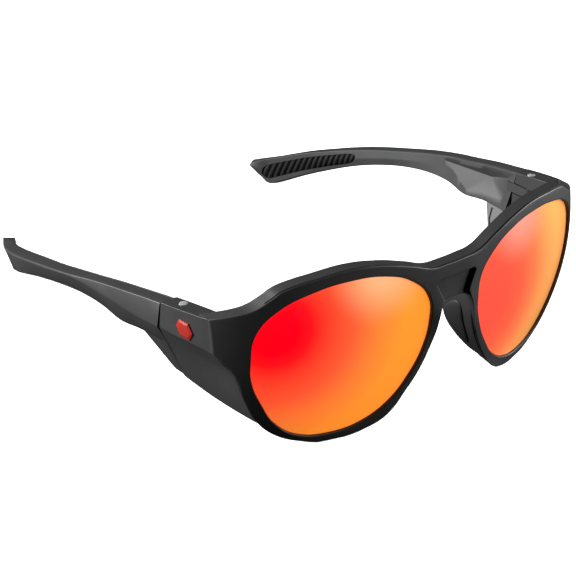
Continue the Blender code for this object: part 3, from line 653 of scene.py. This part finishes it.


# Coatings, partly the coating's own colour and partly painted reflection, by which the two lenses differ: the
# heart of the colour and its reach, the colours, and the painted highlight's place, reach and colour.
LEFT_COATING_AND_REFLECTION = ((12.0, 32.5), 46.0, (
    (0.0, (1.0, 0.075, 0.047)), (0.30, (1.0, 0.083, 0.048)), (0.45, (1.0, 0.11, 0.050)),
    (0.60, (1.0, 0.18, 0.066)), (0.75, (1.0, 0.30, 0.088)), (0.92, (1.0, 0.40, 0.110))),
    (30.0, 55.5), 18.0, (1.0, 0.28, 0.22))
RIGHT_COATING_AND_REFLECTION = ((-58.5, 42.5), 46.0, (
    (0.15, (1.0, 0.0, 0.008)), (0.24, (1.0, 0.006, 0.010)), (0.36, (1.0, 0.046, 0.020)),
    (0.52, (1.0, 0.094, 0.030)), (0.70, (1.0, 0.19, 0.032)), (0.90, (1.0, 0.27, 0.026))),
    (-25.0, 56.0), 20.0, (1.0, 0.42, 0.21))

FRONT_FINISH = grained("satin_black_moulding", (0.040, 0.040, 0.041), 0.42, specular=0.35)
TEMPLE_FINISH = grained("satin_grey_moulding", (0.046, 0.046, 0.047), 0.42, specular=0.35)
WING_FINISH = grained("satin_pad_carrier", (0.034, 0.034, 0.035), 0.38, specular=0.35)
PAD_FINISH = grained("soft_pad_rubber", (0.026, 0.026, 0.027), 0.5, specular=0.3)
GRIP_FINISH = grained("grip_rubber", (0.012, 0.012, 0.013), 0.72, specular=0.2)
STEEL_FINISH = metal("screw_steel", (0.86, 0.86, 0.88), 0.35, 0.6)
BRASS_FINISH = metal("insert_brass", (0.80, 0.58, 0.25), 0.32)
NYLON_FINISH = grained("hinge_nylon", (0.62, 0.61, 0.57), 0.42)
INLAY_FINISH = grained("inlay_red", (0.36, 0.028, 0.020), 0.28, spread=0.05, height=0.08)


# ---------------------------------------------------------------- pieces

def dress(piece, body, slot_name, finish, *cad_nodes):
    """Finish, body and CAD node of a piece."""
    piece.data.materials.clear()
    piece.data.materials.append(finish)
    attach(piece, body)
    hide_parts(*cad_nodes)


def mirrored(piece, name):
    """The wearer's right twin of a finished piece."""
    bpy.context.view_layer.update()
    mesh = bpy.data.meshes.new_from_object(piece.evaluated_get(bpy.context.evaluated_depsgraph_get()))
    mesh.transform(Matrix.Diagonal((-1.0, 1.0, 1.0, 1.0)))
    mesh.flip_normals()
    made = bpy.data.objects.new(name, mesh)
    bpy.context.scene.collection.objects.link(made)
    return made


def end_piece():
    """Block behind the front's corner, with rounded long edges, which ends at the slanted seam."""
    sections = []
    for y, outer_top, top, outer_crease, crease, bottom, inner in END_STATIONS:
        corners = ((outer_top, top), (outer_crease, crease), (facet_x(y, bottom) - 3 * SHIELD_STEP, bottom),
                   (inner + 0.4, bottom), (inner, top))
        at_seam = y >= SEAM_TOP_Y
        points = [Vector((x, seam_y(z) if at_seam else y, z)) for x, z in corners]
        sections.append(rounded(points, END_EDGE))
    return loft(sections)


def shield_point(along, up, depth):
    """Outer surface of the side shield, ruled from the rim's front edge to the seam; up is 0 to 1."""
    low, high = SHIELD_RIM[0], SHIELD_RIM[-1]
    place = low[0] + (high[0] - low[0]) * up
    rim_z, rim_x = between(SHIELD_RIM, place)
    start = on_front(rim_x - SHIELD_TUCK[0], rim_z, SHIELD_TUCK[1])
    end_z = SHIELD_LOW_Z + (SHIELD_HIGH_Z - SHIELD_LOW_Z) * up
    end_y = SHIELD_SEAM_LOW_Y + (SHIELD_SEAM_HIGH_Y - SHIELD_SEAM_LOW_Y) * up
    end = Vector((facet_x(end_y, end_z) + SHIELD_BULGE * smooth_step(1.0 - up, 0.0, 0.5), end_y, end_z))
    point = start.lerp(end, along)
    point.z += (end_z - rim_z) * (along ** (2.0 - up) - along)
    dip = SHIELD_WAIST * math.sin(math.pi * along) * math.sin(math.pi * up)
    return point - Vector((depth + dip, 0.0, 0.0))


def shield():
    """Side shield from the rim back to the seam."""
    bm = bmesh.new()
    columns, rows = SHIELD_COLUMNS, SHIELD_ROWS
    layers = []
    for depth in (0.0, SHIELD_THICKNESS):
        layers.append([[bm.verts.new(shield_point(along / columns, up / rows, depth))
                        for up in range(rows + 1)] for along in range(columns + 1)])
    for layer in layers:
        for first, second in zip(layer, layer[1:]):
            for up in range(rows):
                bm.faces.new((first[up], first[up + 1], second[up + 1], second[up]))
    outer, inner = layers
    for end in (0, columns):
        for up in range(rows):
            bm.faces.new((outer[end][up], outer[end][up + 1], inner[end][up + 1], inner[end][up]))
    for end in (0, rows):
        for along in range(columns):
            bm.faces.new((outer[along][end], outer[along + 1][end], inner[along + 1][end], inner[along][end]))
    return bm


def rebate():
    """Cut along the rim's nasal edge, in which the pad carrier sits."""
    sections = []
    low, high = WING_STATIONS[0][0], WING_STATIONS[-1][0]
    for z, rim_x, _, _ in WING_STATIONS:
        end = -GAP if z == low else GAP if z == high else 0.0
        nasal_x = rim_x - REBATE_SIDE
        lateral_x = rim_x + WING_THICKNESS + GAP
        back = FRONT_DEPTH + REBATE_REACH
        sections.append([on_front(x, z + end, depth) for x, depth in (
            (nasal_x, REBATE_DEPTH), (nasal_x, back), (lateral_x, back), (lateral_x, REBATE_DEPTH))])
    return loft(sections)


def brow_groove():
    """Fine groove along the top of the brow, just behind its front edge."""
    crest = [(x, z) for x, z, _ in BROW_AND_RIM[BROW_CREST_POINTS]]
    start, end = BROW_GROOVE_ENDS
    sections = []
    for step in range(BROW_GROOVE_STEPS + 1):
        x = start + (end - start) * step / BROW_GROOVE_STEPS
        z = between(crest, x)[1]
        slope = between(crest, x + 0.5)[1] - between(crest, x - 0.5)[1]
        up = Vector((-slope, 1.0)).normalized()
        sections.append([on_front(x + up.x * height, z + up.y * height, depth)
                         for height, depth in BROW_GROOVE_CUT])
    return loft(sections)


def emblem_outline(clearance):
    """Corners of the six-sided inlay, as y and z from its middle."""
    length = EMBLEM_LENGTH / 2 + clearance
    height = EMBLEM_HEIGHT / 2 + clearance
    shoulder = length * EMBLEM_SHOULDER
    return ((-length, 0.0), (-shoulder, height), (shoulder, height), (length, 0.0),
            (shoulder, -height), (-shoulder, -height))


def on_emblem(y, z, height):
    face_x, slope_y, slope_z = END_FACE
    return Vector((face_x + slope_y * y + slope_z * z + height, EMBLEM_Y + y, EMBLEM_Z + z))


def cut_hinge(front):
    """The slot between the ears, the room behind them, and the screw's bore, head seat and nut seat."""
    reach = TONGUE_RADIUS + GAP
    slot_low = (HINGE_X - SLOT_INWARD, HINGE_Y - reach, SLOT_LOW)
    slot_high = (HINGE_X + reach, HINGE_Y + SLOT_REARWARD, SLOT_HIGH)
    combine(front, box(slot_low, slot_high), "DIFFERENCE")
    corner = (HINGE_X + CORNER_PLACE[0], HINGE_Y + CORNER_PLACE[1], CORNER_MIDDLE_Z)
    combine(front, cylinder(corner, CORNER_RADIUS, CORNER_HEIGHT, 4), "DIFFERENCE")
    for z, radius, height in (
            (BORE_MIDDLE_Z, SCREW_RADIUS + GAP, 2 * (BORE_MIDDLE_Z - NUT_LOW)),
            (EAR_TOP, SCREW_HEAD_RADIUS + HEAD_PLAY, 2 * (SCREW_HEAD_HEIGHT + HEAD_ROOM)),
            (NUT_MOUTH_Z, NUT_RADIUS + NUT_PLAY, 2 * (NUT_MOUTH_Z - NUT_LOW + GAP))):
        combine(front, cylinder((HINGE_X, HINGE_Y, z), radius, height), "DIFFERENCE")


def build_front():
    """Front moulding, built on the left half and mirrored."""
    rims = plate([BROW_AND_RIM, inset(LENS_OPENING, 0.0)], 0.0, FRONT_DEPTH, on_rim)
    front = new_object(flat_foot(rims), "front_moulding")
    combine(front, rebate(), "DIFFERENCE")
    combine(front, brow_groove(), "DIFFERENCE")
    lip = plate([inset(LENS_OPENING, -LIP_OVERLAP), inset(LENS_OPENING, LIP_WIDTH)],
                LENS_DEPTH + LENS_THICKNESS + LENS_SINK + LIP_PLAY, FRONT_DEPTH - LIP_INSET, edge=LIP_EDGE)
    combine(front, lip, "UNION")
    web = plate([BRIDGE_WEB], RECESS_DEPTH, FRONT_DEPTH - WEB_INSET, edge=WEB_EDGE, steps=8)
    combine(front, web, "UNION")
    combine(front, end_piece(), "UNION")
    combine(front, shield(), "UNION")
    cut_hinge(front)
    pocket = loft([[on_emblem(y, z, height) for y, z in emblem_outline(EMBLEM_PLAY)]
                   for height in (-EMBLEM_DEPTH - GAP, CUT_REACH)])
    combine(front, pocket, "DIFFERENCE")
    mirror = front.modifiers.new("mirror", "MIRROR")
    mirror.use_bisect_axis[0] = True
    mirror.merge_threshold = 0.00005
    bake_modifiers(front)
    even_normals(front)
    dress(front, "front", "frame", FRONT_FINISH, "front_frame")


def on_lens(x, z, depth):
    """A place on the lens, which sits deeper in the rim towards the temple."""
    return on_front(x, z, depth + LENS_SINK * (1.0 - smooth_step(x, *LENS_SINK_ENDS)))


def build_lenses():
    """Lenses: mirror coating on the front face and its bevel, partly its own colour and partly painted
    reflection, with a painted highlight; dark smoke behind.
    """
    smoke = glossy("smoke_lens_back", (0.03, 0.012, 0.01), 0.12)
    back = LENS_DEPTH + LENS_THICKNESS
    bm = plate([inset(LENS_OPENING, LENS_PLAY)], LENS_DEPTH, back, on_lens, LENS_EDGE, steps=14)
    left = new_object(bm, "left_mirror_lens", 50.0)
    right = mirrored(left, "right_mirror_lens")
    # Each lens gets its own coating colours, partly the coating's own colour and partly painted reflection,
    # with a painted highlight.
    for lens, side, coating in ((left, "left_lens", LEFT_COATING_AND_REFLECTION), (right, "right_lens", RIGHT_COATING_AND_REFLECTION)):
        dress(lens, "front", "mirror_lens", coating_with_painted_reflection(side + "_coating_and_reflection", *coating), side)
        lens.data.materials.append(smoke)
        for face in lens.data.polygons:
            face.material_index = 0 if face.normal.y < MIRROR_LIMIT else 1


def temple_section(y):
    """Corners of the temple's section, from the outer top edge round by the bottom to the inner top edge."""
    _, outer, top, width, crease, bottom, low_outer = between(TEMPLE_STATIONS, y)
    inner = outer - width
    inner_low = min(inner, low_outer - BOTTOM_WIDTH)
    corners = ((outer, top), (outer + CREASE_PROUD, crease), (low_outer, bottom),
               (inner_low, bottom + BOTTOM_RISE), (inner - INNER_BELLY, (top + bottom) / 2),
               (inner, top - TOP_SLOPE))
    return [Vector((x, y, z)) for x, z in corners]


def grooved(section):
    """The temple's section with a fine groove along its inner top edge."""
    outer, inner = section[0], section[5]
    near, middle, far = (inner.lerp(outer, share) for share in EDGE_GROOVE)
    floor = middle - Vector((0.0, 0.0, EDGE_GROOVE_DEPTH))
    return section[:5] + [inner - Vector((0.0, 0.0, EDGE_GROOVE_LIP)), near, floor, far]


def hollow():
    """The pyramid that is taken out of the temple's inner face."""
    bm = bmesh.new()
    deepest = Vector((inner_x(*HOLLOW_DEEPEST) + HOLLOW_DEPTH, *HOLLOW_DEEPEST))
    tip = bm.verts.new(deepest)
    raised = bm.verts.new(deepest - Vector((HOLLOW_DEPTH + HOLLOW_CUT_REACH, 0.0, 0.0)))
    mouth = [bm.verts.new((inner_x(y, z), y, z)) for y, z in HOLLOW_OUTLINE]
    for vert, following in zip(mouth, mouth[1:] + mouth[:1]):
        bm.faces.new((vert, following, tip))
        bm.faces.new((following, vert, raised))
    return bm


def inner_x(y, z):
    """X of the temple's inner face."""
    section = temple_section(y)
    low, middle, high = section[3], section[4], section[5]
    if z < middle.z:
        return low.x + (middle.x - low.x) * (z - low.z) / (middle.z - low.z)
    return middle.x + (high.x - middle.x) * (z - middle.z) / (high.z - middle.z)


def grip_sections(clearance, proud, ribbed):
    """Sections of the grip along the temple, or of the pocket that holds it."""
    sections = []
    steps = RIB_STEPS * GRIP_RIBS
    length = GRIP_REAR_Y - GRIP_FRONT_Y + 2 * clearance
    for step in range(steps + 1):
        share = step / steps
        y = GRIP_FRONT_Y - clearance + length * share
        _, _, top, _, _, bottom, _ = between(TEMPLE_STATIONS, y)
        end = min(share, 1.0 - share)
        taper = math.sqrt(max(0.0, 1.0 - (1.0 - min(1.0, end / GRIP_END)) ** 2)) * 0.75 + 0.25
        centre = bottom + (top - bottom) * GRIP_MIDDLE
        half = ((top - bottom) * GRIP_HALF_HEIGHT + clearance) * taper
        wave = 0.5 - 0.5 * math.cos(2 * math.pi * share * GRIP_RIBS)
        height = proud - (RIB_DEPTH * (1.0 - min(1.0, wave * 1.6)) if ribbed else 0.0)
        points = []
        for level in GRIP_LEVELS:
            z = centre + half * level
            slanted = y - GRIP_SLANT * half * level
            drop = GRIP_EDGE_DROP if abs(level) == 1.0 and ribbed else 0.0
            points.append(Vector((inner_x(slanted, z) - height + drop, slanted, z)))
        for level in (1.0, -1.0):
            z = centre + half * level
            slanted = y - GRIP_SLANT * half * level
            points.append(Vector((inner_x(slanted, z) + GRIP_DEPTH + clearance, slanted, z)))
        sections.append(points)
    return sections


def temple_bar():
    """The temple from the seam to its tip."""
    start_y, end_y = TEMPLE_STATIONS[0][0], TEMPLE_STATIONS[-1][0]
    first = grooved(temple_section(start_y))
    seam = [Vector((point.x, seam_y(point.z) + SEAM_GAP, point.z)) for point in first]
    sections = [rounded(seam, TEMPLE_EDGE)]
    for step in range(1, TEMPLE_STEPS + 1):
        y = TEMPLE_START_Y + (end_y - TEMPLE_START_Y) * step / TEMPLE_STEPS
        points = grooved(temple_section(y))
        turn = max(0.0, (y - TIP_START_Y) / (end_y - TIP_START_Y))
        for point in points[3:]:
            point.y -= TIP_TURN * turn
        sections.append(rounded(points, TEMPLE_EDGE))
    sections.append(shrunk([point + Vector(TIP_END) for point in sections[-1]], TIP_SHRINK))
    return loft(sections)


def fin():
    """The rear part of the side shield, which swings with the temple."""
    front = SHIELD_SEAM_LOW_Y + SEAM_GAP
    outline = [*((front, z, True) for z in FIN_FRONT), *FIN_OUTLINE]
    return bent(flat_outline([outline], SHIELD_STEP, SHIELD_THICKNESS, 4, FIN_EDGE), on_facet, FIN_GRID)


def build_temples():
    """Temples with their hinge tongue and fin, and the grips."""
    low = SLOT_LOW + WASHER_THICKNESS + GAP
    high = SLOT_HIGH - GAP
    half = TONGUE_RADIUS
    middle = (HINGE_X, HINGE_Y, (low + high) / 2)
    temple = new_object(temple_bar(), "left_temple_arm", 30.0)
    neck = box((HINGE_X - half + NECK_PLAY, HINGE_Y, low), (HINGE_X + half - NECK_PLAY, NECK_REAR_Y, high))
    combine(temple, neck, "UNION")
    combine(temple, cylinder(middle, half, high - low + TONGUE_OVERLAP), "UNION")
    combine(temple, fin(), "UNION")
    combine(temple, cylinder(middle, SLEEVE_RADIUS + SLEEVE_PLAY, SLEEVE_CUT_LENGTH), "DIFFERENCE")
    combine(temple, loft(grip_sections(GRIP_PLAY, GRIP_CUT_REACH, False)), "DIFFERENCE")
    combine(temple, hollow(), "DIFFERENCE")
    window = loft([[on_facet(y, z, depth) for y, z in WINDOW]
                   for depth in (SHIELD_THICKNESS - WINDOW_DEPTH, CUT_REACH)])
    combine(temple, window, "DIFFERENCE")
    even_normals(temple)
    grip = new_object(loft(grip_sections(0.0, GRIP_PROUD, True)), "left_ribbed_grip", 50.0)
    for piece, slot_name, finish, cad_node in ((temple, "temple", TEMPLE_FINISH, "temple"),
                                               (grip, "grip", GRIP_FINISH, "temple_grip")):
        twin = mirrored(piece, piece.name.replace("left", "right"))
        dress(piece, "left_temple", slot_name, finish, "left_" + cad_node)
        dress(twin, "right_temple", slot_name, finish, "right_" + cad_node)


def wing_length(z):
    """How far the pad carrier reaches back from the rebate."""
    _, rim_x, _, rear_y = between(WING_STATIONS, z)
    return rear_y - front_y(rim_x, z) - REBATE_DEPTH - GAP


def on_wing(z, back, outward):
    _, rim_x, rear_x, rear_y = between(WING_STATIONS, z)
    length = wing_length(z)
    return Vector((rim_x + (rear_x - rim_x) * back / length - outward, rear_y + back - length, z))


def pad_ring(half_length, half_width, outward):
    """Oval on the pad carrier's nose side."""
    points = []
    for step in range(PAD_SIDES):
        angle = 2 * math.pi * step / PAD_SIDES
        z = PAD_Z + half_length * math.cos(angle)
        back = wing_length(z) * PAD_SHARE + half_width * math.sin(angle)
        points.append(on_wing(z, back, outward))
    return points


def wing():
    """Pad carrier: a curved wall that reaches back from the rim's nasal edge."""
    sections = []
    low, high = WING_STATIONS[0][0], WING_STATIONS[-1][0]
    for step in range(WING_STEPS + 1):
        z = low + (high - low) * step / WING_STEPS
        rim_x = between(WING_STATIONS, z)[1]
        length = wing_length(z)
        lateral_x = rim_x + WING_THICKNESS
        bevel = length * WING_BEVEL_START
        points = [on_wing(z, 0.0, 0.0),
                  on_wing(z, bevel, 0.0),
                  on_wing(z, length, -WING_THICKNESS * WING_BEVEL_SHARES[0]),
                  on_wing(z, bevel, -WING_THICKNESS * WING_BEVEL_SHARES[1]),
                  on_front(lateral_x, z, FRONT_DEPTH + 2 * GAP),
                  on_front(lateral_x, z, REBATE_DEPTH + 1.5 * GAP)]
        sections.append(rounded(points, WING_EDGE))
    return loft(sections)


def build_nose_pads():
    """Pad carriers and the soft pads let into them."""
    carrier = new_object(wing(), "left_pad_wing", 45.0)
    pocket = loft([pad_ring(PAD_HALF_LENGTH + PAD_PLAY, PAD_HALF_WIDTH + PAD_PLAY, height)
                   for height in (-PAD_DEPTH - GAP, PAD_CUT_REACH)])
    combine(carrier, pocket, "DIFFERENCE")
    even_normals(carrier)
    rings = [pad_ring(PAD_HALF_LENGTH * scale, PAD_HALF_WIDTH * scale, height)
             for scale, height in PAD_PROFILE]
    pad = new_object(loft(rings), "left_soft_pad", 55.0)
    for piece, slot_name, finish, cad_node in ((carrier, "pad_carrier", WING_FINISH, "pad_carrier"),
                                               (pad, "soft_pad", PAD_FINISH, "nose_pad")):
        twin = mirrored(piece, piece.name.replace("left", "right"))
        dress(piece, "front", slot_name, finish, "left_" + cad_node)
        dress(twin, "front", slot_name, finish, "right_" + cad_node)


def build_screws():
    """Hinge screws with a chamfered head and a driver slot."""
    head_high = EAR_TOP - SCREW_SINK
    seat = head_high - SCREW_HEAD_HEIGHT
    tip = NUT_LOW + SCREW_SINK
    profile = ((0.0, tip), (SCREW_RADIUS, tip), (SCREW_RADIUS, seat), (SCREW_HEAD_RADIUS, seat),
               *((SCREW_HEAD_RADIUS - inward, head_high - down) for inward, down in HEAD_ROUNDING),
               (0.0, head_high))
    bm = bmesh.new()
    verts = [bm.verts.new((radius, 0.0, height)) for radius, height in profile]
    for first, second in zip(verts, verts[1:]):
        bm.edges.new((first, second))
    bmesh.ops.spin(bm, geom=bm.verts[:] + bm.edges[:], axis=(0, 0, 1), angle=2 * math.pi, steps=TURNED_SIDES,
                   use_merge=True)
    bmesh.ops.remove_doubles(bm, verts=bm.verts[:], dist=0.001)
    bmesh.ops.translate(bm, vec=(HINGE_X, HINGE_Y, 0.0), verts=bm.verts[:])
    screw = new_object(bm, "left_slotted_screw", 30.0)
    half_length, half_width, depth = SCREW_SLOT
    slot = box((-half_length, -half_width, head_high - depth), (half_length, half_width, head_high + 1.0))
    turn = Matrix.Rotation(math.radians(SCREW_SLOT_TURN), 3, "Z")
    bmesh.ops.rotate(slot, cent=(0, 0, 0), matrix=turn, verts=slot.verts[:])
    bmesh.ops.translate(slot, vec=(HINGE_X, HINGE_Y, 0.0), verts=slot.verts[:])
    combine(screw, slot, "DIFFERENCE")
    twin = mirrored(screw, "right_slotted_screw")
    dress(screw, "front", "screw_steel", STEEL_FINISH, "left_hinge_screw")
    dress(twin, "front", "screw_steel", STEEL_FINISH, "right_hinge_screw")


def build_inlays():
    """Plain six-sided inlays cut like a gem."""
    rings = [[on_emblem(y, z, height) for y, z in emblem_outline(clearance)]
             for clearance, height in EMBLEM_CUTS]
    inlay = new_object(loft(rings), "left_gem_inlay", 5.0)
    twin = mirrored(inlay, "right_gem_inlay")
    dress(inlay, "front", "inlay", INLAY_FINISH, "left_emblem_inlay")
    dress(twin, "front", "inlay", INLAY_FINISH, "right_emblem_inlay")


def finish_hidden_nodes():
    """CAD nodes that stay as they are: sleeves, washers and nuts of the hinges."""
    finishes = {"hinge_sleeve": NYLON_FINISH, "hinge_washer": NYLON_FINISH, "hinge_nut": BRASS_FINISH}
    for name, finish in finishes.items():
        for side in ("left_", "right_"):
            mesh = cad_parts[side + name].data
            mesh.materials.clear()
            mesh.materials.append(finish)


# ---------------------------------------------------------------- studio

def softbox(name, place, size, power, receivers=(), spared=()):
    """Square area light aimed at the glasses, which lights only its receivers, or all but the spared."""
    lamp = bpy.data.lights.new(name, "AREA")
    lamp.shape = "SQUARE"
    lamp.size = size
    lamp.energy = power
    holder = bpy.data.objects.new(name, lamp)
    bpy.context.scene.collection.objects.link(holder)
    holder.location = place
    holder.rotation_euler = (Vector(AIM) - Vector(place)).to_track_quat("-Z", "Y").to_euler()
    group = bpy.data.collections.new(name + "_receivers")
    for piece in (*receivers, *spared):
        group.objects.link(piece)
    if spared:
        for link in group.collection_objects:
            link.light_linking.link_state = "EXCLUDE"
    holder.light_linking.receiver_collection = group
    return lamp


def build_studio():
    """White paper floor, a world that only the camera sees, and the softboxes."""
    bm = bmesh.new()
    bmesh.ops.create_grid(bm, x_segments=1, y_segments=1, size=FLOOR_HALF)
    mesh = bpy.data.meshes.new("studio_floor")
    bm.to_mesh(mesh)
    bm.free()
    floor = bpy.data.objects.new("studio_floor", mesh)
    bpy.context.scene.collection.objects.link(floor)
    paper, _, _, shader = new_material("studio_paper", (0.9, 0.9, 0.9), 0.9)
    shader.inputs["Specular IOR Level"].default_value = 0.0
    mesh.materials.append(paper)
    floor.visible_diffuse = False
    floor.visible_glossy = False
    scene = bpy.context.scene
    scene.view_settings.view_transform = "Standard"
    world = bpy.data.worlds.new("studio_world")
    scene.world = world
    world.use_nodes = True
    background = world.node_tree.nodes["Background"]
    background.inputs["Color"].default_value = (1.0, 1.0, 1.0, 1.0)
    background.inputs["Strength"].default_value = 1.0
    world.cycles_visibility.diffuse = False
    world.cycles_visibility.glossy = False
    lenses = (bpy.data.objects["left_mirror_lens"], bpy.data.objects["right_mirror_lens"])
    for light in BODY_LIGHTS:
        softbox(*light, spared=lenses)
    softbox(*FLOOR_LIGHT, receivers=(floor,)).use_shadow = False
    for light in LENS_LIGHTS:
        softbox(*light, receivers=lenses)


def build_camera():
    """Camera in front of the glasses, on the wearer's right and above."""
    camera = bpy.data.cameras.new("camera")
    camera.lens = CAMERA_LENS
    camera.sensor_width = 36.0
    holder = bpy.data.objects.new("camera", camera)
    bpy.context.scene.collection.objects.link(holder)
    x, y, z = CAMERA_PLACE
    holder.location = (x * MM, (y - ORIGIN_Y) * MM, z * MM)
    holder.rotation_euler = (math.radians(90.0 - CAMERA_ELEVATION), 0.0, -math.radians(CAMERA_AZIMUTH))
    bpy.context.scene.camera = holder


build_front()
build_lenses()
build_temples()
build_nose_pads()
build_screws()
build_inlays()
finish_hidden_nodes()
build_studio()
build_camera()
